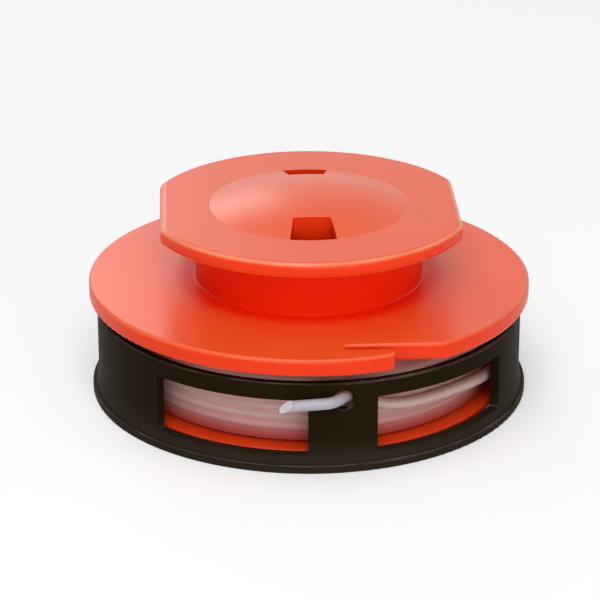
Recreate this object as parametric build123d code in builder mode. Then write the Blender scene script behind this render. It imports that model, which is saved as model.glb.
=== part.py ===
from build123d import *
import os
from math import cos, isclose, pi, radians, sin, sqrt, tan

os.makedirs("parts", exist_ok=True)

# All lengths are in millimetres and all angles in degrees.
# The ring stands on z = 0, its eyelet faces -Y and the spool spins about Z.

# Trimmer line
line_diameter = 1.6

# Upper flange with its line-parking notch
flange_radius = 32.0
flange_thickness = 2.5
flange_rounding = 0.5
notch_depth = 5.2  # from the rim to the notch's straight inner edge
notch_corner = 0.9
slot_root = 3.6  # where the slot ends, beside the centre line
slot_width = 1.3  # narrower than the line, so it grips
finger_reach = 10.4  # where the finger's round tip ends

# Grip plate on its hollow neck
neck_height = 8.35
grip_thickness = 2.3
grip_radius = 23.6
grip_flat_depth = 2.1
grip_corner = 3.0
grip_rounding = 0.9
dome_radius = 14.4
dome_height = 2.1
crown_wall = 1.6
window_inner_reach = 8.9
window_inner_width = 5.3
window_outer_width = 7.2  # where its sides, drawn on, meet the core's radius
window_relief = 0.2  # how far a window's round outer edge runs into the cavity's wall
apron_wall = 1.2
apron_margin = 1.4  # how far an apron runs past its window on each side
apron_drop = 0.6  # from the grip plate's underside to an apron's foot

# Hub, core and lower flange
core_radius = 16.5
hub_wall = 1.9
core_fillet = 0.25
bore_depth = 19.3
bore_step = 0.2
mouth_chamfer = 0.5
lower_flange_thickness = 1.0
lower_flange_rounding = 0.35
catch_drop = 2.4  # from the grip plate down to the catch
catch_height = 2.2
catch_reach = 1.5
catch_angle = 20.0

# Eyelet ring
ring_inset = 1.1  # how far the wall stands inside the flange's rim
ring_wall = 1.3
ring_height = 13.2
ring_rounding = 0.3
lip_height = 1.25
lip_overhang = 0.9
lip_rounding = 0.25
flare_height = 4.6
flare_overhang = 0.45
post_angle = 18.0
ring_window_angle = 43.0
ring_window_corner = 0.35
sill_height = 2.5
top_band = 2.5
eyelet_drop = 2.6  # from the ring's top edge to the eyelet's centre
eyelet_radius = 1.4
eyelet_rounding = 0.4
lug_count = 4
lug_angle = 16.0
lug_height = 0.9
lug_lead_in = 0.5
lug_grip = 0.7  # how far a lug reaches under the lower flange

# Clearances and the spool's angle in the ring
seat_play = 0.3
flange_play = 1.0
lead_space = 2.8  # room for the line between the winding and the ring
ring_gap = 1.45
winding_play = 0.1
spool_turn = -6.2

# Winding
turn_relief = 0.5  # depth of the valley between two turns

# Radii that follow from the sizes above
ring_radius = flange_radius - ring_inset
ring_inner_radius = ring_radius - ring_wall
lip_radius = ring_radius + lip_overhang
lower_flange_radius = ring_inner_radius - flange_play
winding_radius = ring_inner_radius - lead_space
bore_radius = core_radius - hub_wall
cavity_radius = bore_radius - bore_step

# Heights that follow from the sizes above
hub_bottom = lug_height + seat_play
lower_flange_top = hub_bottom + lower_flange_thickness
flange_bottom = ring_height + ring_gap
flange_top = flange_bottom + flange_thickness
grip_bottom = flange_top + neck_height
grip_top = grip_bottom + grip_thickness
bore_top = hub_bottom + bore_depth
window_top = ring_height - top_band
eyelet_height = ring_height - eyelet_drop


def spool_plane(height):
    """Level plane at a height, turned with the spool."""
    return Plane.XY.offset(height).rotated((0, 0, spool_turn))


def radial_plane(angle):
    """Upright half plane at an angle from +X: x runs outward and y runs up."""
    outward = (cos(radians(angle)), sin(radians(angle)), 0)
    normal = (sin(radians(angle)), -cos(radians(angle)), 0)
    return Plane(origin=(0, 0, 0), x_dir=outward, z_dir=normal)


def around_front(angle, reach):
    """Point at an angle from -Y towards +X, at a distance from the axis."""
    return (reach * sin(radians(angle)), -reach * cos(radians(angle)))


# The notch: a slot that runs in beside a finger of the rim, with a mouth to its right.
# The finger's tip is a circle that touches the slot's outer side and the rim.
notch_edge = flange_radius - notch_depth
slot_outer = notch_edge + slot_width
tip_sum = slot_outer + flange_radius - finger_reach
tip_rest = flange_radius**2 - slot_outer**2 - finger_reach**2
tip_radius = sqrt(tip_sum**2 + tip_rest) - tip_sum
tip_centre = Vector(finger_reach - tip_radius, -slot_outer - tip_radius)
outside = 2 * flange_radius
tip_ray = tip_centre.normalized() * outside
mouth_corner = Vector(sqrt(flange_radius**2 - notch_edge**2), -notch_edge)

with BuildPart() as spool:
    # Upper flange
    with BuildSketch(spool_plane(flange_bottom)) as flange_plan:
        Circle(flange_radius)
        with Locations((slot_root + slot_width / 2, -notch_edge - slot_width / 2)):
            Circle(slot_width / 2, mode=Mode.SUBTRACT)
            Rectangle(
                outside, slot_width, align=(Align.MIN, Align.CENTER), mode=Mode.SUBTRACT
            )
        Polygon(
            (tip_centre.X, -slot_outer),
            tip_centre,
            tip_ray,
            (outside, tip_ray.Y),
            (outside, -slot_outer),
            mode=Mode.SUBTRACT,
        )
        with Locations(tip_centre):
            Circle(tip_radius)
        fillet(flange_plan.vertices().sort_by_distance(mouth_corner)[0], notch_corner)
    extrude(amount=flange_thickness)
    fillet(spool.edges().group_by(Axis.Z)[-1], flange_rounding)
    fillet(spool.edges().group_by(Axis.Z)[0], flange_rounding)

    # Grip plate with its two flats
    with BuildSketch(spool_plane(grip_bottom)) as grip_plan:
        Circle(grip_radius)
        Rectangle(2 * (grip_radius - grip_flat_depth), 2 * grip_radius, mode=Mode.INTERSECT)
        fillet(grip_plan.vertices(), grip_corner)
    extrude(amount=grip_thickness)
    fillet(spool.edges().filter_by_position(Axis.Z, grip_top, grip_top), grip_rounding)
    fillet(spool.edges().filter_by_position(Axis.Z, grip_bottom, grip_bottom), grip_rounding)

    # Lower flange
    with BuildSketch(Plane.XY.offset(hub_bottom)):
        Circle(lower_flange_radius)
    extrude(amount=lower_flange_thickness)
    fillet(
        spool.edges().filter_by_position(Axis.Z, hub_bottom, lower_flange_top).filter_by(GeomType.CIRCLE),
        lower_flange_rounding,
    )

    # Core and neck, one tube from the lower flange to the grip plate
    with BuildSketch(Plane.XY.offset(hub_bottom)):
        Circle(core_radius)
    extrude(amount=grip_bottom - hub_bottom)
    root_heights = (lower_flange_top, flange_bottom, flange_top, grip_bottom)
    fillet(
        spool.edges()
        .filter_by(GeomType.CIRCLE)
        .filter_by(lambda edge: isclose(edge.radius, core_radius, abs_tol=0.001))
        .filter_by(
            lambda edge: any(isclose(edge.center().Z, z, abs_tol=0.001) for z in root_heights)
        ),
        core_fillet,
    )

    # Shallow dome in the middle of the grip plate
    with BuildSketch(Plane.XZ):
        with BuildLine():
            ThreePointArc(
                (-dome_radius, grip_top), (0, grip_top + dome_height), (dome_radius, grip_top)
            )
            Line((dome_radius, grip_top), (-dome_radius, grip_top))
        make_face()
        split(bisect_by=Plane.YZ)
    revolve(axis=Axis.Z)

    # Bore for the drive hub, open below, with a narrower cavity under the dome
    with BuildSketch(Plane.XY.offset(hub_bottom)):
        Circle(bore_radius)
    extrude(amount=bore_depth, mode=Mode.SUBTRACT)
    with BuildSketch(Plane.XZ):
        with BuildLine():
            ThreePointArc(
                (-cavity_radius, grip_top - crown_wall),
                (0, grip_top + dome_height - crown_wall),
                (cavity_radius, grip_top - crown_wall),
            )
            Polyline(
                (cavity_radius, grip_top - crown_wall),
                (cavity_radius, bore_top),
                (-cavity_radius, bore_top),
                (-cavity_radius, grip_top - crown_wall),
            )
        make_face()
        split(bisect_by=Plane.YZ)
    revolve(axis=Axis.Z, mode=Mode.SUBTRACT)
    bore_mouth = spool.edges().filter_by(GeomType.CIRCLE).group_by(Axis.Z)[0].sort_by(SortBy.RADIUS)[0]
    chamfer(bore_mouth, mouth_chamfer)

    # Windows in the dome, each with an apron behind it and, below, a catch for the drive hub
    catch_top = grip_bottom - catch_drop
    for side in (-1, 1):
        with BuildSketch(spool_plane(catch_top)):
            Polygon(
                (window_inner_width / 2, side * window_inner_reach),
                (window_outer_width / 2, side * core_radius),
                (-window_outer_width / 2, side * core_radius),
                (-window_inner_width / 2, side * window_inner_reach),
            )
            Circle(cavity_radius + window_relief, mode=Mode.INTERSECT)
        extrude(amount=grip_top + dome_height - catch_top, mode=Mode.SUBTRACT)
        with BuildSketch(spool_plane(grip_bottom - apron_drop)):
            with Locations((0, side * (window_inner_reach - apron_wall / 2))):
                Rectangle(window_inner_width + 2 * apron_margin, apron_wall)
        extrude(amount=apron_drop + grip_thickness + dome_height / 4)
        with BuildSketch(radial_plane(spool_turn + side * 90 - catch_angle / 2)):
            Polygon(
                (cavity_radius + hub_wall / 2, catch_top),
                (cavity_radius - catch_reach, catch_top),
                (cavity_radius - catch_reach, catch_top - catch_height / 2),
                (cavity_radius, catch_top - catch_height),
                (cavity_radius + hub_wall / 2, catch_top - catch_height),
            )
        revolve(axis=Axis.Z, revolution_arc=catch_angle)

with BuildPart() as line_ring:
    # Wall that flares into a lip where it stands
    with BuildSketch(Plane.XZ):
        with BuildLine():
            Polyline(
                (ring_radius, flare_height),
                (ring_radius, ring_height),
                (ring_inner_radius, ring_height),
                (ring_inner_radius, 0),
                (lip_radius, 0),
                (lip_radius, lip_height),
                (ring_radius + flare_overhang, lip_height),
            )
            TangentArc(
                (ring_radius, flare_height),
                (ring_radius + flare_overhang, lip_height),
                tangent=(0, -1),
            )
        make_face()
    revolve(axis=Axis.Z)
    fillet(line_ring.edges().group_by(Axis.Z)[-1], ring_rounding)
    fillet(
        line_ring.edges()
        .filter_by(GeomType.CIRCLE)
        .filter_by(lambda edge: isclose(edge.radius, lip_radius, abs_tol=0.001)),
        lip_rounding,
    )

    # Two windows, one each side of the eyelet's post
    for side in (-1, 1):
        near = side * post_angle / 2
        far = near + side * ring_window_angle
        with BuildSketch(Plane.XY.offset(sill_height)):
            Polygon((0, 0), around_front(near, outside), around_front(far, outside))
        extrude(amount=window_top - sill_height, mode=Mode.SUBTRACT)
    fillet(
        line_ring.edges().filter_by(GeomType.LINE).filter_by(Plane.XY),
        ring_window_corner,
    )

    # Eyelet through the post, rounded for the line on both sides
    with BuildSketch(Plane(origin=(0, 0, eyelet_height), x_dir=(1, 0, 0), z_dir=(0, -1, 0))):
        Circle(eyelet_radius)
    extrude(amount=lip_radius, mode=Mode.SUBTRACT)
    eyelet_face = (
        line_ring.faces()
        .filter_by(GeomType.CYLINDER)
        .filter_by(lambda face: isclose(face.radius, eyelet_radius, abs_tol=0.001))
    )
    fillet(eyelet_face.edges().filter_by(GeomType.LINE, reverse=True), eyelet_rounding)

    # Snap lugs that carry the lower flange
    lug_radius = lower_flange_radius - lug_grip
    for number in range(lug_count):
        middle = 45 + number * 360 / lug_count
        with BuildSketch(radial_plane(middle - lug_angle / 2)):
            Polygon(
                (ring_inner_radius + ring_wall / 2, 0),
                (lug_radius + lug_lead_in, 0),
                (lug_radius, lug_lead_in),
                (lug_radius, lug_height),
                (ring_inner_radius + ring_wall / 2, lug_height),
            )
        revolve(axis=Axis.Z, revolution_arc=lug_angle)

# The winding's outer layer shows its turns as ridges, one pitch apart
winding_bottom = lower_flange_top + winding_play
winding_top = flange_bottom - winding_play
winding_inner_radius = core_radius + core_fillet + winding_play
turn_count = round((winding_top - winding_bottom) / line_diameter)
turn_pitch = (winding_top - winding_bottom) / turn_count
valley_radius = winding_radius - turn_relief

with BuildPart() as line_winding:
    with BuildSketch(Plane.XZ):
        with BuildLine():
            for turn in range(turn_count):
                turn_bottom = winding_bottom + turn * turn_pitch
                ThreePointArc(
                    (valley_radius, turn_bottom),
                    (winding_radius, turn_bottom + turn_pitch / 2),
                    (valley_radius, turn_bottom + turn_pitch),
                )
            Polyline(
                (valley_radius, winding_top),
                (winding_inner_radius, winding_top),
                (winding_inner_radius, winding_bottom),
                (valley_radius, winding_bottom),
            )
        make_face()
    revolve(axis=Axis.Z)

# The line's free end: off the winding, out of the eyelet and along the ring to its cut tip
tail_points = [
    Vector(27.55, -4.37, 5.0),
    Vector(26.05, -11.06, 5.6),
    Vector(22.3, -17.42, 6.5),
    Vector(16.58, -22.81, 7.3),
    Vector(10.33, -26.24, 7.4),
    Vector(5.7, -27.6, 8.1),
    Vector(1.3, -27.95, 10.4),
    Vector(-1.35, -32.35, 10.95),
    Vector(-4.25, -32.35, 10.9),
    Vector(-6.75, -32.2, 10.8),
    Vector(-9.05, -31.9, 10.6),
]
bend_share = 0.45  # part of the shorter run that an arc takes up
tail_radii = []
for before, corner, after in zip(tail_points, tail_points[1:], tail_points[2:]):
    run_in = corner - before
    run_out = after - corner
    half_turn = radians(run_in.get_angle(run_out)) / 2
    tail_radii.append(bend_share * min(run_in.length, run_out.length) / tan(half_turn))
print("tail radii", [round(radius, 2) for radius in tail_radii])

with BuildPart() as line_tail:
    with BuildLine() as tail_route:
        FilletPolyline(*tail_points, radius=tail_radii)
    with BuildSketch(tail_route.line ^ 0):
        Circle(line_diameter / 2)
    sweep()
tail_length = tail_route.wire().length
tail_section = pi * (line_diameter / 2) ** 2
print("tail length", round(tail_length, 2))
print("tail volume over section times length", round(line_tail.part.volume / (tail_section * tail_length), 4))

spool.part.label = "spool"
export_step(spool.part, "parts/spool.step")
line_ring.part.label = "line_ring"
export_step(line_ring.part, "parts/line_ring.step")
line_winding.part.label = "line_winding"
export_step(line_winding.part, "parts/line_winding.step")
line_tail.part.label = "line_tail"
export_step(line_tail.part, "parts/line_tail.step")
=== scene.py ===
"""Looks for a wound trimmer line spool in its eyelet ring, in metres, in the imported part's own frame."""

import logging
import math
from dataclasses import dataclass, field
from enum import Enum

import bpy
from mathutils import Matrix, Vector


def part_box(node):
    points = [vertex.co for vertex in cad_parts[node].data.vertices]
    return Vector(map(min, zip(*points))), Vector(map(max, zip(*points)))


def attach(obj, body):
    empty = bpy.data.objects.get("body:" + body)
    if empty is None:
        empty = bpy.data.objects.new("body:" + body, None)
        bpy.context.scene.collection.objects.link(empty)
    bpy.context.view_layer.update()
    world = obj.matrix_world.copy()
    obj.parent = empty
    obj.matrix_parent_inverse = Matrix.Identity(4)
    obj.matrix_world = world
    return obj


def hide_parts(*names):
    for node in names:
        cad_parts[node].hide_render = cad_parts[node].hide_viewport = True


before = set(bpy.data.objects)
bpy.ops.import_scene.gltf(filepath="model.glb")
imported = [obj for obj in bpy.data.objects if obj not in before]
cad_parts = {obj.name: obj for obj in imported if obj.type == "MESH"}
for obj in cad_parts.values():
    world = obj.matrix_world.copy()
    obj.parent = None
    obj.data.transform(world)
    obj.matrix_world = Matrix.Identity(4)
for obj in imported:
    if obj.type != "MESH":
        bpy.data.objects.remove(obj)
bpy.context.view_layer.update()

LOG = logging.getLogger("trimmer_line_spool")
MM = 0.001
WELD = 0.001 * MM

Colour = tuple[float, float, float, float]
Place = tuple[float, float, float]


class Body(Enum):
    """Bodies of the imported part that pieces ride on."""

    RING = "ring"
    REEL = "reel"


class Node(Enum):
    """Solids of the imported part."""

    SPOOL = "spool"
    RING = "line_ring"
    WINDING = "line_winding"
    TAIL = "line_tail"


class Slot(Enum):
    """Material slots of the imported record."""

    SPOOL = "spool_plastic"
    RING = "ring_plastic"
    LINE = "nylon_line"


def display(red: int, green: int, blue: int) -> Colour:
    """Turn a display colour into the linear colour that shaders take.

    Args:
        red: Red from 0 to 255.
        green: Green from 0 to 255.
        blue: Blue from 0 to 255.

    Returns:
        The linear colour, opaque.
    """

    def linear(value: int) -> float:
        """Undo the display curve for one channel."""
        share = value / 255
        return share / 12.92 if share <= 0.04045 else ((share + 0.055) / 1.055) ** 2.4

    return (linear(red), linear(green), linear(blue), 1.0)


def add_node(tree: bpy.types.NodeTree, kind: str, **inputs: object) -> bpy.types.Node:
    """Add a shader node and set its unlinked inputs.

    Args:
        tree: Node tree that takes the node.
        kind: Node type, such as ShaderNodeBump.
        **inputs: Values by socket name, with spaces as underscores.

    Returns:
        The new node.
    """
    node = tree.nodes.new(kind)
    for name, value in inputs.items():
        node.inputs[name.replace("_", " ")].default_value = value
    return node


def calculate(
    tree: bpy.types.NodeTree, operation: str, *values: bpy.types.NodeSocket | float
) -> bpy.types.NodeSocket:
    """Add a maths node.

    Args:
        tree: Node tree that takes the node.
        operation: What it works out, such as MULTIPLY.
        *values: Its inputs in order, each a socket or a number.

    Returns:
        The result's socket.
    """
    node = tree.nodes.new("ShaderNodeMath")
    node.operation = operation
    for entry, value in zip(node.inputs, values):
        if isinstance(value, bpy.types.NodeSocket):
            tree.links.new(value, entry)
        else:
            entry.default_value = value
    return node.outputs["Value"]


def new_group(name: str, inputs: dict[str, str], outputs: dict[str, str]) -> bpy.types.NodeTree:
    """Start a shader node group with its sockets and its two end nodes.

    Args:
        name: Name of the group.
        inputs: Kinds of the input sockets by name, such as Float.
        outputs: Kinds of the output sockets by name.

    Returns:
        The new group.
    """
    tree = bpy.data.node_groups.new(name, "ShaderNodeTree")
    for way, sockets in (("INPUT", inputs), ("OUTPUT", outputs)):
        for title, kind in sockets.items():
            tree.interface.new_socket(title, in_out=way, socket_type="NodeSocket" + kind)
    tree.nodes.new("NodeGroupInput")
    tree.nodes.new("NodeGroupOutput")
    return tree


def select_only(piece: bpy.types.Object) -> None:
    """Make one object the active and only selected one."""
    bpy.ops.object.select_all(action="DESELECT")
    piece.select_set(True)
    bpy.context.view_layer.objects.active = piece


class MouldedSkin:
    """Node group for the skin that a mould leaves: mottled colour, uneven gloss and fine grain."""

    NAME = "moulded_skin"

    @classmethod
    def group(cls) -> bpy.types.NodeTree:
        """Build the group once.

        Returns:
            The shared node group.
        """
        if cls.NAME in bpy.data.node_groups:
            return bpy.data.node_groups[cls.NAME]
        tree = new_group(
            cls.NAME,
            {
                "Colour": "Color",
                "Deep Colour": "Color",
                "Mottle Scale": "Vector",
                "Gloss Scale": "Float",
                "Smoothest": "Float",
                "Roughest": "Float",
                "Grain Scale": "Float",
            },
            {"Colour": "Color", "Roughness": "Float", "Height": "Float"},
        )
        entry = tree.nodes["Group Input"]
        result = tree.nodes["Group Output"]
        place = tree.nodes.new("ShaderNodeTexCoord")

        drawn = tree.nodes.new("ShaderNodeVectorMath")
        drawn.operation = "MULTIPLY"
        tree.links.new(place.outputs["Object"], drawn.inputs[0])
        tree.links.new(entry.outputs["Mottle Scale"], drawn.inputs[1])
        mottle = add_node(tree, "ShaderNodeTexNoise", Scale=1.0, Detail=2.0, Roughness=0.5)
        tree.links.new(drawn.outputs["Vector"], mottle.inputs["Vector"])
        tint = tree.nodes.new("ShaderNodeMixRGB")
        tree.links.new(mottle.outputs["Fac"], tint.inputs["Fac"])
        tree.links.new(entry.outputs["Colour"], tint.inputs["Color1"])
        tree.links.new(entry.outputs["Deep Colour"], tint.inputs["Color2"])
        tree.links.new(tint.outputs["Color"], result.inputs["Colour"])

        gloss = add_node(tree, "ShaderNodeTexNoise", Detail=3.0, Roughness=0.6)
        tree.links.new(place.outputs["Object"], gloss.inputs["Vector"])
        tree.links.new(entry.outputs["Gloss Scale"], gloss.inputs["Scale"])
        spread = tree.nodes.new("ShaderNodeMapRange")
        tree.links.new(gloss.outputs["Fac"], spread.inputs["Value"])
        tree.links.new(entry.outputs["Smoothest"], spread.inputs["To Min"])
        tree.links.new(entry.outputs["Roughest"], spread.inputs["To Max"])
        tree.links.new(spread.outputs["Result"], result.inputs["Roughness"])

        grain = add_node(tree, "ShaderNodeTexNoise", Detail=2.0, Roughness=0.5)
        tree.links.new(place.outputs["Object"], grain.inputs["Vector"])
        tree.links.new(entry.outputs["Grain Scale"], grain.inputs["Scale"])
        tree.links.new(grain.outputs["Fac"], result.inputs["Height"])
        return tree


class PaintedLightMask:
    """Node group for the mask of painted light and shade: near the spin axis, near the foot or on upright
    faces, which fades elsewhere.
    """

    NAME = "reach_mask"
    UPRIGHT = 0.15
    LEVEL = 0.75

    @classmethod
    def group(cls) -> bpy.types.NodeTree:
        """Build the group once.

        Returns:
            The shared node group.
        """
        if cls.NAME in bpy.data.node_groups:
            return bpy.data.node_groups[cls.NAME]
        limits = ("Near", "Far", "Ceiling", "Ceiling End", "Foot", "Foot End", "Edge")
        tree = new_group(cls.NAME, dict.fromkeys(limits, "Float"), {"Mask": "Float"})
        entry = tree.nodes["Group Input"]
        result = tree.nodes["Group Output"]
        place = tree.nodes.new("ShaderNodeTexCoord")
        level = tree.nodes.new("ShaderNodeVectorMath")
        level.operation = "MULTIPLY"
        level.inputs[1].default_value = (1, 1, 0)
        tree.links.new(place.outputs["Object"], level.inputs[0])
        reach = tree.nodes.new("ShaderNodeVectorMath")
        reach.operation = "LENGTH"
        tree.links.new(level.outputs["Vector"], reach.inputs[0])
        parts = tree.nodes.new("ShaderNodeSeparateXYZ")
        tree.links.new(place.outputs["Object"], parts.inputs["Vector"])

        def fade(value: bpy.types.NodeSocket, start: str, end: str) -> bpy.types.NodeSocket:
            """Fall smoothly from 1 at the start to 0 at the end of a range."""
            step = add_node(tree, "ShaderNodeMapRange", To_Min=1.0, To_Max=0.0)
            step.interpolation_type = "SMOOTHSTEP"
            tree.links.new(value, step.inputs["Value"])
            tree.links.new(entry.outputs[start], step.inputs["From Min"])
            tree.links.new(entry.outputs[end], step.inputs["From Max"])
            return step.outputs["Result"]

        around = fade(reach.outputs["Value"], "Near", "Far")
        under = fade(parts.outputs["Z"], "Ceiling", "Ceiling End")
        within = calculate(tree, "MULTIPLY", around, under)
        either = calculate(tree, "MAXIMUM", within, fade(parts.outputs["Z"], "Foot", "Foot End"))

        facing = tree.nodes.new("ShaderNodeNewGeometry")
        lean = tree.nodes.new("ShaderNodeSeparateXYZ")
        tree.links.new(facing.outputs["Normal"], lean.inputs["Vector"])
        upright = add_node(
            tree, "ShaderNodeMapRange", From_Min=cls.UPRIGHT, From_Max=cls.LEVEL, To_Min=1.0, To_Max=0.0
        )
        upright.interpolation_type = "SMOOTHSTEP"
        tree.links.new(calculate(tree, "ABSOLUTE", lean.outputs["Z"]), upright.inputs["Value"])
        edge = calculate(tree, "MULTIPLY", upright.outputs["Result"], entry.outputs["Edge"])
        tree.links.new(calculate(tree, "MAXIMUM", either, edge), result.inputs["Mask"])
        return tree


class PaintedEdgeHighlight:
    """Node group for a painted highlight: a broken pale line along rounded edges that face up, stronger
    higher up.
    """

    NAME = "edge_line"
    RISE = (0.1, 0.85)
    FALL = (0.86, 0.99)
    PATCH = 6 * MM
    CONTRAST = (0.35, 0.65)
    LOW_SHARE = 0.2

    @classmethod
    def group(cls) -> bpy.types.NodeTree:
        """Build the group once.

        Returns:
            The shared node group.
        """
        if cls.NAME in bpy.data.node_groups:
            return bpy.data.node_groups[cls.NAME]
        controls = ("Strength", "Unevenness", "Low", "High")
        tree = new_group(cls.NAME, dict.fromkeys(controls, "Float"), {"Mask": "Float"})
        entry = tree.nodes["Group Input"]
        result = tree.nodes["Group Output"]
        facing = tree.nodes.new("ShaderNodeNewGeometry")
        lean = tree.nodes.new("ShaderNodeSeparateXYZ")
        tree.links.new(facing.outputs["Normal"], lean.inputs["Vector"])
        value = entry.outputs["Strength"]
        for (start, end), (low, high) in ((cls.RISE, (0.0, 1.0)), (cls.FALL, (1.0, 0.0))):
            step = add_node(
                tree, "ShaderNodeMapRange", From_Min=start, From_Max=end, To_Min=low, To_Max=high
            )
            step.interpolation_type = "SMOOTHSTEP"
            tree.links.new(lean.outputs["Z"], step.inputs["Value"])
            value = calculate(tree, "MULTIPLY", value, step.outputs["Result"])

        place = tree.nodes.new("ShaderNodeTexCoord")
        height = tree.nodes.new("ShaderNodeSeparateXYZ")
        tree.links.new(place.outputs["Object"], height.inputs["Vector"])
        raised = add_node(tree, "ShaderNodeMapRange", To_Min=cls.LOW_SHARE, To_Max=1.0)
        tree.links.new(height.outputs["Z"], raised.inputs["Value"])
        tree.links.new(entry.outputs["Low"], raised.inputs["From Min"])
        tree.links.new(entry.outputs["High"], raised.inputs["From Max"])
        value = calculate(tree, "MULTIPLY", value, raised.outputs["Result"])

        patches = add_node(tree, "ShaderNodeTexNoise", Scale=1 / cls.PATCH, Detail=3.0, Roughness=0.6)
        tree.links.new(place.outputs["Object"], patches.inputs["Vector"])
        low, high = cls.CONTRAST
        contrast = add_node(tree, "ShaderNodeMapRange", From_Min=low, From_Max=high)
        tree.links.new(patches.outputs["Fac"], contrast.inputs["Value"])
        uneven = entry.outputs["Unevenness"]
        even = calculate(tree, "SUBTRACT", 1.0, uneven)
        kept = calculate(tree, "MULTIPLY_ADD", contrast.outputs["Result"], uneven, even)
        tree.links.new(calculate(tree, "MULTIPLY", value, kept), result.inputs["Mask"])
        return tree


@dataclass(frozen=True)
class PaintedLightZone:
    """Where painted light or shade lies: from the spin axis out, up to a ceiling, from the foot up, and on
    edges.

    A ceiling higher than its end puts the painted light over the ceiling.
    """

    near: float = 0.0
    far: float = 0.001 * MM
    ceiling: float = 1.0
    ceiling_end: float = 2.0
    foot: float = -2.0
    foot_end: float = -1.0
    edge: float = 0.0

    def mask(self, tree: bpy.types.NodeTree) -> bpy.types.NodeSocket:
        """Place the mask in a material.

        Args:
            tree: The material's node tree.

        Returns:
            The mask's socket.
        """
        node = tree.nodes.new("ShaderNodeGroup")
        node.node_tree = PaintedLightMask.group()
        node.inputs["Near"].default_value = self.near
        node.inputs["Far"].default_value = self.far
        node.inputs["Ceiling"].default_value = self.ceiling
        node.inputs["Ceiling End"].default_value = self.ceiling_end
        node.inputs["Foot"].default_value = self.foot
        node.inputs["Foot End"].default_value = self.foot_end
        node.inputs["Edge"].default_value = self.edge
        return node.outputs["Mask"]


@dataclass(frozen=True)
class Finish:
    """Finish of a plastic: mottled colour, painted light or shade over part of it, a painted highlight on
    rounded edges, uneven gloss and a fine grain.

    The mottle, patch and grain are sizes on the surface, and the stretch draws the mottle out by axis.
    """

    name: str
    colour: Colour
    mottle_colour: Colour
    # Painted light or shade: its colour and where it lies.
    painted_light_colour: Colour
    painted_light_zone: PaintedLightZone
    smoothest: float
    roughest: float
    specular: float
    coat: float = 0.0
    coat_roughness: float = 0.3
    mottle: float = 14 * MM
    stretch: Place = (1.0, 1.0, 1.0)
    patch: float = 5 * MM
    grain: float = 0.35 * MM
    grain_height: float = 0.004 * MM
    subsurface: float = 0.0
    subsurface_depth: float = 1.0 * MM
    subsurface_spread: Place = (1.0, 1.0, 1.0)
    # Painted highlight along rounded edges that face up.
    highlight_colour: Colour = (1.0, 1.0, 1.0, 1.0)
    highlight_strength: float = 0.0
    highlight_unevenness: float = 0.4
    highlight_avoids: float = 1.0
    highlight_low: float = -2.0
    highlight_high: float = -1.0

    def material(self) -> bpy.types.Material:
        """Build the material.

        Returns:
            The finished material.
        """
        made = bpy.data.materials.new(self.name)
        made.use_nodes = True
        tree = made.node_tree
        shader = tree.nodes["Principled BSDF"]
        skin = tree.nodes.new("ShaderNodeGroup")
        skin.node_tree = MouldedSkin.group()
        skin.inputs["Colour"].default_value = self.colour
        skin.inputs["Deep Colour"].default_value = self.mottle_colour
        skin.inputs["Mottle Scale"].default_value = tuple(1 / (self.mottle * part) for part in self.stretch)
        skin.inputs["Gloss Scale"].default_value = 1 / self.patch
        skin.inputs["Smoothest"].default_value = self.smoothest
        skin.inputs["Roughest"].default_value = self.roughest
        skin.inputs["Grain Scale"].default_value = 1 / self.grain
        # Painted light and shade: the painted colour is mixed over the mottled colour where this mask lies.
        mask = self.painted_light_zone.mask(tree)
        tint = add_node(tree, "ShaderNodeMixRGB", Color2=self.painted_light_colour)
        tree.links.new(mask, tint.inputs["Fac"])
        tree.links.new(skin.outputs["Colour"], tint.inputs["Color1"])
        # Painted highlight: a pale colour along rounded edges that face up, kept off the painted shade by a
        # share of its mask.
        line = tree.nodes.new("ShaderNodeGroup")
        line.node_tree = PaintedEdgeHighlight.group()
        line.inputs["Strength"].default_value = self.highlight_strength
        line.inputs["Unevenness"].default_value = self.highlight_unevenness
        line.inputs["Low"].default_value = self.highlight_low
        line.inputs["High"].default_value = self.highlight_high
        clear = calculate(tree, "MULTIPLY_ADD", mask, -self.highlight_avoids, line.outputs["Mask"])
        painted_highlight = add_node(tree, "ShaderNodeMixRGB", Color2=self.highlight_colour)
        tree.links.new(calculate(tree, "MAXIMUM", clear, 0.0), painted_highlight.inputs["Fac"])
        tree.links.new(tint.outputs["Color"], painted_highlight.inputs["Color1"])
        tree.links.new(painted_highlight.outputs["Color"], shader.inputs["Base Color"])
        tree.links.new(skin.outputs["Roughness"], shader.inputs["Roughness"])
        bump = add_node(tree, "ShaderNodeBump", Strength=1.0, Distance=self.grain_height)
        tree.links.new(skin.outputs["Height"], bump.inputs["Height"])
        tree.links.new(bump.outputs["Normal"], shader.inputs["Normal"])
        if self.coat > 0:
            polish = add_node(tree, "ShaderNodeMapRange", To_Min=self.coat, To_Max=0.0)
            tree.links.new(mask, polish.inputs["Value"])
            tree.links.new(polish.outputs["Result"], shader.inputs["Coat Weight"])
            shader.inputs["Coat Roughness"].default_value = self.coat_roughness
        shader.inputs["Specular IOR Level"].default_value = self.specular
        shader.inputs["Subsurface Weight"].default_value = self.subsurface
        shader.inputs["Subsurface Scale"].default_value = self.subsurface_depth
        shader.inputs["Subsurface Radius"].default_value = self.subsurface_spread
        return made


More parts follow.
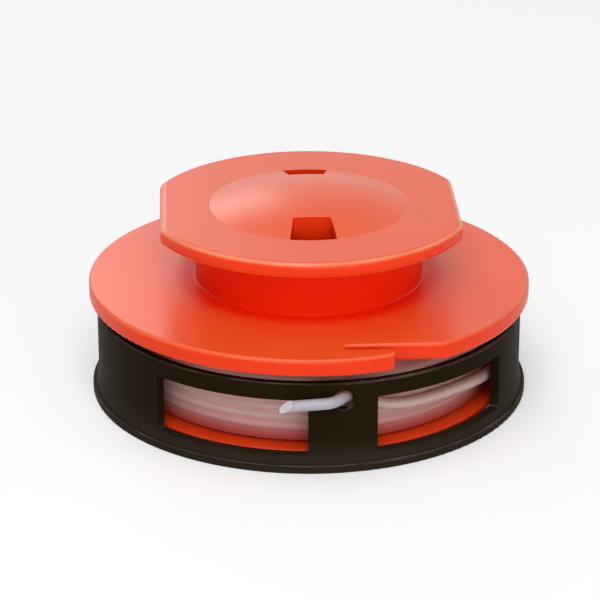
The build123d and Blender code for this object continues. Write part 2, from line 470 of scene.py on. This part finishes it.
RED_PLASTIC = Finish(
    name="orange_red_plastic",
    colour=display(248, 93, 39),
    mottle_colour=display(245, 85, 32),
    # Painted shade and red bounce: deeper red on the neck and the flange round it under the plate, on the
    # lower flange and on upright faces.
    painted_light_colour=display(247, 42, 4),
    painted_light_zone=PaintedLightZone(
        near=17.3 * MM,
        far=20.8 * MM,
        ceiling=25.7 * MM,
        ceiling_end=27.3 * MM,
        foot=0.0,
        foot_end=4.2 * MM,
        edge=0.7,
    ),
    smoothest=0.3,
    roughest=0.38,
    specular=0.12,
    coat=0.4,
    coat_roughness=0.28,
    subsurface=0.25,
    subsurface_depth=1.5 * MM,
    subsurface_spread=(1.0, 0.12, 0.05),
    # Painted highlight: a pale line along rounded edges that face up, stronger towards the grip plate.
    highlight_colour=display(255, 168, 130),
    highlight_strength=0.7,
    highlight_unevenness=0.35,
    highlight_low=18 * MM,
    highlight_high=26 * MM,
)
BLACK_PLASTIC = Finish(
    name="satin_black_plastic",
    colour=display(36, 26, 12),
    mottle_colour=display(31, 21, 8),
    # Painted light: paler towards the foot, where the flared lip catches the light.
    painted_light_colour=display(46, 38, 30),
    painted_light_zone=PaintedLightZone(foot=1.2 * MM, foot_end=5.5 * MM),
    smoothest=0.45,
    roughest=0.58,
    specular=0.02,
    grain=0.3 * MM,
    grain_height=0.012 * MM,
    # Painted highlight: a broken pale line along the ring's edges that face up.
    highlight_colour=display(150, 138, 126),
    highlight_strength=0.3,
    highlight_unevenness=0.8,
    highlight_avoids=0.0,
)
CLEAR_NYLON = Finish(
    name="clear_white_nylon",
    colour=display(183, 179, 189),
    mottle_colour=display(174, 169, 180),
    # Painted red reflection and shade: pinker where the free end runs inside the ring.
    painted_light_colour=display(206, 172, 168),
    painted_light_zone=PaintedLightZone(near=29.6 * MM, far=31.4 * MM),
    smoothest=0.28,
    roughest=0.38,
    specular=0.5,
    mottle=5 * MM,
    grain=0.25 * MM,
    grain_height=0.006 * MM,
    subsurface=0.5,
    subsurface_depth=0.8 * MM,
)
CUT_NYLON = Finish(
    name="cut_nylon",
    colour=display(228, 224, 232),
    mottle_colour=display(214, 209, 219),
    painted_light_colour=display(214, 209, 219),
    painted_light_zone=PaintedLightZone(),
    smoothest=0.45,
    roughest=0.6,
    specular=0.4,
    mottle=0.6 * MM,
    grain=0.12 * MM,
    grain_height=0.02 * MM,
)
# Painted red bounce light and shade: deeper red on the winding next to both flanges.
PAINTED_FLANGE_BOUNCE = PaintedLightZone(
    near=1.0, far=2.0, ceiling=14 * MM, ceiling_end=11 * MM, foot=2.4 * MM, foot_end=6.5 * MM
)
WOUND_NYLON = Finish(
    name="wound_nylon",
    # Painted red light: the white line is coloured pink for the spool's red light bouncing off it and
    # showing through.
    colour=display(236, 204, 199),
    mottle_colour=display(208, 158, 152),
    painted_light_colour=display(190, 76, 72),
    painted_light_zone=PAINTED_FLANGE_BOUNCE,
    smoothest=0.32,
    roughest=0.42,
    specular=0.2,
    mottle=1.1 * MM,
    stretch=(12.0, 12.0, 1.0),
    grain=0.25 * MM,
    grain_height=0.006 * MM,
    subsurface=0.2,
    subsurface_depth=0.6 * MM,
)
INNER_NYLON = Finish(
    name="inner_turns_nylon",
    # Painted red light: pink for the spool's red light falling on the inner turns.
    colour=display(228, 176, 170),
    mottle_colour=display(220, 163, 157),
    painted_light_colour=display(178, 66, 60),
    painted_light_zone=PAINTED_FLANGE_BOUNCE,
    smoothest=0.4,
    roughest=0.5,
    specular=0.1,
    mottle=5 * MM,
)


@dataclass
class FreeEnd:
    """The line's free end, from the winding through the eyelet to its cut tip."""

    diameter: float = 1.6 * MM
    route: tuple[Place, ...] = (
        (0.02755, -0.00437, 0.005),
        (0.02605, -0.01106, 0.0056),
        (0.0223, -0.01742, 0.0065),
        (0.01658, -0.02281, 0.0073),
        (0.01033, -0.02624, 0.0074),
        (0.0057, -0.0276, 0.0081),
        (0.0013, -0.02795, 0.0104),
        (-0.00135, -0.03235, 0.01095),
        (-0.00425, -0.03235, 0.0109),
        (-0.00675, -0.0322, 0.0108),
        (-0.00905, -0.0319, 0.0106),
    )
    cut_lean: float = math.radians(52)
    cut_faces: Place = (0.0, -0.5, 0.85)
    resolution: int = 16
    roundness: int = 6
    soft_angle: float = math.radians(40)

    def _curve(self, name: str, bevel: float) -> bpy.types.Object:
        """Make a NURBS curve along the route.

        Args:
            name: Name of the curve's object.
            bevel: Radius of the tube, or 0 for a bare line.

        Returns:
            The curve's object.
        """
        curve = bpy.data.curves.new(name, "CURVE")
        curve.dimensions = "3D"
        curve.resolution_u = self.resolution
        curve.bevel_depth = bevel
        curve.bevel_resolution = self.roundness
        curve.use_fill_caps = True
        spline = curve.splines.new("NURBS")
        spline.points.add(len(self.route) - 1)
        for point, place in zip(spline.points, self.route):
            point.co = (*place, 1.0)
        spline.order_u = 3
        spline.use_endpoint_u = True
        made = bpy.data.objects.new(name, curve)
        bpy.context.scene.collection.objects.link(made)
        return made

    def build(self) -> bpy.types.Object:
        """Returns:
            The finished piece.
        """
        bare = self._curve("line_route", 0.0)
        line = bpy.data.meshes.new_from_object(bare)
        path = [vertex.co.copy() for vertex in line.vertices]
        bpy.data.objects.remove(bare)
        bpy.data.meshes.remove(line)

        tail = self._curve("line_free_end", self.diameter / 2)
        select_only(tail)
        bpy.ops.object.convert(target="MESH")
        along = (path[-1] - path[-2]).normalized()
        side = Vector(self.cut_faces)
        side = (side - along * side.dot(along)).normalized()
        slant = along * math.cos(self.cut_lean) + side * math.sin(self.cut_lean)
        bpy.ops.object.mode_set(mode="EDIT")
        bpy.ops.mesh.select_all(action="SELECT")
        bpy.ops.mesh.remove_doubles(threshold=WELD)
        tip = path[-1] - along * (self.diameter / 2) * math.tan(self.cut_lean)
        bpy.ops.mesh.bisect(plane_co=tip, plane_no=slant, use_fill=True, clear_outer=True)
        bpy.ops.mesh.select_all(action="SELECT")
        bpy.ops.mesh.normals_make_consistent(inside=False)
        bpy.ops.object.mode_set(mode="OBJECT")
        bpy.ops.object.shade_smooth_by_angle(angle=self.soft_angle)

        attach(tail, Body.RING.value)
        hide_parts(Node.TAIL.value)
        return tail

    def dress(self, tail: bpy.types.Object) -> None:
        """Give the tail its finish, and the fresh cut face its own.

        Args:
            tail: The finished piece.
        """
        tail.data.materials.clear()
        tail.data.materials.append(CLEAR_NYLON.material())
        tail.data.materials.append(CUT_NYLON.material())
        end = Vector(self.route[-1])
        cut = max(
            (face for face in tail.data.polygons if (face.center - end).length < 2 * self.diameter),
            key=lambda face: face.area,
        )
        cut.material_index = 1


@dataclass
class Winding:
    """The wound line: an outer layer of level turns that cross over at the back, on the inner turns."""

    diameter: float = 1.6 * MM
    turns: int = 8
    relief: float = 0.22 * MM
    bed: float = 8 * MM
    waver: float = 0.1 * MM
    waver_count: int = 3
    phase_step: float = 2.4
    points_per_turn: int = 72
    cross_over: float = math.radians(50)
    roundness: int = 4
    soft_angle: float = math.radians(50)
    low: Vector = field(default_factory=lambda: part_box(Node.WINDING.value)[0])
    high: Vector = field(default_factory=lambda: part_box(Node.WINDING.value)[1])

    def _climb(self, angle: float) -> float:
        """Share of one pitch that a turn has climbed at an angle from +X, with the climb at the back.

        Args:
            angle: Angle since the turn began, from 0 to a full circle.

        Returns:
            A share from 0 to 1.
        """
        share = (angle - math.pi / 2 + self.cross_over / 2) / self.cross_over
        share = min(max(share, 0.0), 1.0)
        return share * share * (3 - 2 * share)

    def _route(self) -> list[Place]:
        """Lay out the outer layer, turn on turn from the foot.

        Returns:
            Points along the line.
        """
        lowest = self.low.z + self.diameter / 2
        pitch = (self.high.z - self.low.z - self.diameter) / (self.turns - 1)
        reach = self.high.x - self.diameter / 2 - self.waver
        points = []
        for step in range(self.turns * self.points_per_turn):
            turn, part = divmod(step, self.points_per_turn)
            angle = 2 * math.pi * part / self.points_per_turn
            level = min(turn + self._climb(angle), self.turns - 1)
            sway = self.waver * math.sin(self.waver_count * angle + self.phase_step * turn)
            distance = reach + sway
            points.append((distance * math.cos(angle), distance * math.sin(angle), lowest + level * pitch))
        return points

    def _line(self) -> bpy.types.Object:
        """Draw the line along its route and make it a mesh.

        Returns:
            The line's object.
        """
        curve = bpy.data.curves.new("wound_line", "CURVE")
        curve.dimensions = "3D"
        curve.resolution_u = 2
        curve.bevel_depth = self.diameter / 2
        curve.bevel_resolution = self.roundness
        curve.use_fill_caps = True
        spline = curve.splines.new("NURBS")
        route = self._route()
        spline.points.add(len(route) - 1)
        for point, place in zip(spline.points, route):
            point.co = (*place, 1.0)
        spline.order_u = 3
        spline.use_endpoint_u = True
        made = bpy.data.objects.new("wound_line", curve)
        bpy.context.scene.collection.objects.link(made)
        select_only(made)
        bpy.ops.object.convert(target="MESH")
        return bpy.context.object

    def _sleeve(self) -> bpy.types.Object:
        """Spin the inner turns as one sleeve from a flat profile.

        Returns:
            The sleeve's object.
        """
        outer = self.high.x - self.waver - self.relief
        inner = outer - self.bed
        bpy.ops.object.select_all(action="DESELECT")
        bpy.ops.mesh.primitive_plane_add(
            size=1,
            location=((inner + outer) / 2, 0, (self.low.z + self.high.z) / 2),
            rotation=(math.pi / 2, 0, 0),
        )
        sleeve = bpy.context.object
        sleeve.name = "winding_sleeve"
        sleeve.scale = (outer - inner, self.high.z - self.low.z - self.diameter / 2, 1)
        bpy.ops.object.transform_apply(location=True, rotation=True, scale=True)
        bpy.ops.object.mode_set(mode="EDIT")
        bpy.ops.mesh.select_all(action="SELECT")
        bpy.ops.mesh.delete(type="ONLY_FACE")
        bpy.ops.mesh.select_all(action="SELECT")
        bpy.ops.mesh.spin(steps=self.points_per_turn, angle=2 * math.pi, center=(0, 0, 0), axis=(0, 0, 1))
        bpy.ops.mesh.select_all(action="SELECT")
        bpy.ops.mesh.remove_doubles(threshold=WELD)
        bpy.ops.mesh.normals_make_consistent(inside=False)
        bpy.ops.object.mode_set(mode="OBJECT")
        return sleeve

    def build(self) -> bpy.types.Object:
        """Wind the line over its sleeve.

        Returns:
            The finished piece.
        """
        winding = self._line()
        sleeve = self._sleeve()
        winding.data.materials.append(WOUND_NYLON.material())
        sleeve.data.materials.append(INNER_NYLON.material())
        select_only(winding)
        sleeve.select_set(True)
        bpy.ops.object.join()
        bpy.ops.object.shade_smooth_by_angle(angle=self.soft_angle)
        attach(winding, Body.REEL.value)
        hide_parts(Node.WINDING.value)
        return winding


@dataclass
class Moulding:
    """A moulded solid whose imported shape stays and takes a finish."""

    node: Node
    finish: Finish

    def dress(self) -> bpy.types.Object:
        """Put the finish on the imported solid.

        Returns:
            The dressed solid.
        """
        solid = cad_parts[self.node.value]
        solid.material_slots[0].material = self.finish.material()
        return solid


@dataclass(frozen=True)
class Softbox:
    """A rectangular studio lamp, aimed at the part."""

    name: str
    place: Place
    size: tuple[float, float]
    watts: float
    aim: Place = (0.0, 0.0, 0.012)

    def build(self) -> bpy.types.Object:
        """Hang the lamp.

        Returns:
            The lamp's object.
        """
        lamp = bpy.data.lights.new(self.name, "AREA")
        lamp.shape = "RECTANGLE"
        lamp.size, lamp.size_y = self.size
        lamp.energy = self.watts
        made = bpy.data.objects.new(self.name, lamp)
        made.location = self.place
        made.rotation_euler = (Vector(self.aim) - Vector(self.place)).to_track_quat("-Z", "Y").to_euler()
        bpy.context.scene.collection.objects.link(made)
        return made


@dataclass
class Studio:
    """Camera, pale floor, white surround and soft lamps."""

    distance: float = 0.4
    elevation: float = math.radians(24.2)
    azimuth: float = math.radians(8.9)
    lens: float = 161.9
    sensor: float = 36.0
    aim_height: float = 12.75 * MM
    aim_left: float = 1.29 * MM
    nearest: float = 0.01
    floor_size: float = 6.0
    floor_colour: Colour = (0.86, 0.86, 0.86, 1.0)
    floor_glow: float = 0.3
    ambient: float = 0.25
    softboxes: tuple[Softbox, ...] = (
        Softbox("key_softbox", (-0.12, -0.55, 0.68), (0.6, 0.6), 3.4),
        Softbox("top_softbox", (-0.1, 0.1, 0.85), (0.6, 0.6), 1.4),
        Softbox("front_softbox", (0.12, -0.86, 0.2), (0.9, 0.3), 2.1),
        Softbox("back_softbox", (-0.107, 0.76, 0.394), (0.3, 0.25), 0.7),
    )

    def camera(self) -> bpy.types.Object:
        """Stand the camera where the photo was taken.

        Returns:
            The camera's object.
        """
        lens = bpy.data.cameras.new("camera")
        lens.lens = self.lens
        lens.sensor_width = self.sensor
        lens.clip_start = self.nearest
        made = bpy.data.objects.new("camera", lens)
        level = self.distance * math.cos(self.elevation)
        back = Vector((-math.sin(self.azimuth), -math.cos(self.azimuth), 0))
        right = Vector((math.cos(self.azimuth), -math.sin(self.azimuth), 0))
        made.location = back * level + Vector((0, 0, self.distance * math.sin(self.elevation)))
        aim = Vector((0, 0, self.aim_height)) - right * self.aim_left
        made.rotation_euler = (aim - made.location).to_track_quat("-Z", "Y").to_euler()
        bpy.context.scene.collection.objects.link(made)
        bpy.context.scene.camera = made
        return made

    def _seen_directly(self, tree: bpy.types.NodeTree) -> bpy.types.NodeSocket:
        """Mask of the rays that show the surround: camera, glossy and transmission rays.

        Args:
            tree: Node tree that takes the mask's nodes.

        Returns:
            The mask's socket.
        """
        rays = tree.nodes.new("ShaderNodeLightPath")
        mirrored = calculate(
            tree, "MAXIMUM", rays.outputs["Is Glossy Ray"], rays.outputs["Is Transmission Ray"]
        )
        return calculate(tree, "MAXIMUM", rays.outputs["Is Camera Ray"], mirrored)

    def floor(self) -> bpy.types.Object:
        """Lay the pale floor, which keeps the part's shadow.

        Returns:
            The floor's object.
        """
        bpy.ops.object.select_all(action="DESELECT")
        bpy.ops.mesh.primitive_plane_add(size=self.floor_size, location=(0, 0, 0))
        made = bpy.context.object
        made.name = "floor"
        paper = bpy.data.materials.new("pale_floor")
        paper.use_nodes = True
        tree = paper.node_tree
        shader = tree.nodes["Principled BSDF"]
        shader.inputs["Base Color"].default_value = self.floor_colour
        shader.inputs["Roughness"].default_value = 1.0
        shader.inputs["Specular IOR Level"].default_value = 0.0
        shader.inputs["Emission Color"].default_value = (1, 1, 1, 1)
        glow = calculate(tree, "MULTIPLY", self._seen_directly(tree), self.floor_glow)
        tree.links.new(glow, shader.inputs["Emission Strength"])
        made.data.materials.append(paper)
        return made

    def surround(self) -> None:
        """Make the world white where it is seen, and a soft ambient light elsewhere."""
        world = bpy.data.worlds.new("surround")
        world.use_nodes = True
        tree = world.node_tree
        light = tree.nodes["Background"]
        level = add_node(tree, "ShaderNodeMapRange", To_Min=self.ambient, To_Max=1.0)
        tree.links.new(self._seen_directly(tree), level.inputs["Value"])
        light.inputs["Color"].default_value = (1, 1, 1, 1)
        tree.links.new(level.outputs["Result"], light.inputs["Strength"])
        bpy.context.scene.world = world

    def build(self) -> None:
        """Set up the camera, floor, surround and lamps."""
        self.camera()
        self.floor()
        self.surround()
        for softbox in self.softboxes:
            softbox.build()
        bpy.context.scene.view_settings.view_transform = "Standard"


def main() -> None:
    """Build the studio and every piece, in order."""
    logging.basicConfig(level=logging.INFO, format="%(name)s: %(message)s")
    Studio().build()
    free_end = FreeEnd()
    tail = free_end.build()
    free_end.dress(tail)
    LOG.info("%s: %d faces", tail.name, len(tail.data.polygons))
    winding = Winding()
    turns = winding.build()
    LOG.info("%s: %d faces", turns.name, len(turns.data.polygons))
    for moulding in (Moulding(Node.SPOOL, RED_PLASTIC), Moulding(Node.RING, BLACK_PLASTIC)):
        solid = moulding.dress()
        LOG.info("%s: dressed in %s", solid.name, moulding.finish.name)


if __name__ == "__main__":
    main()
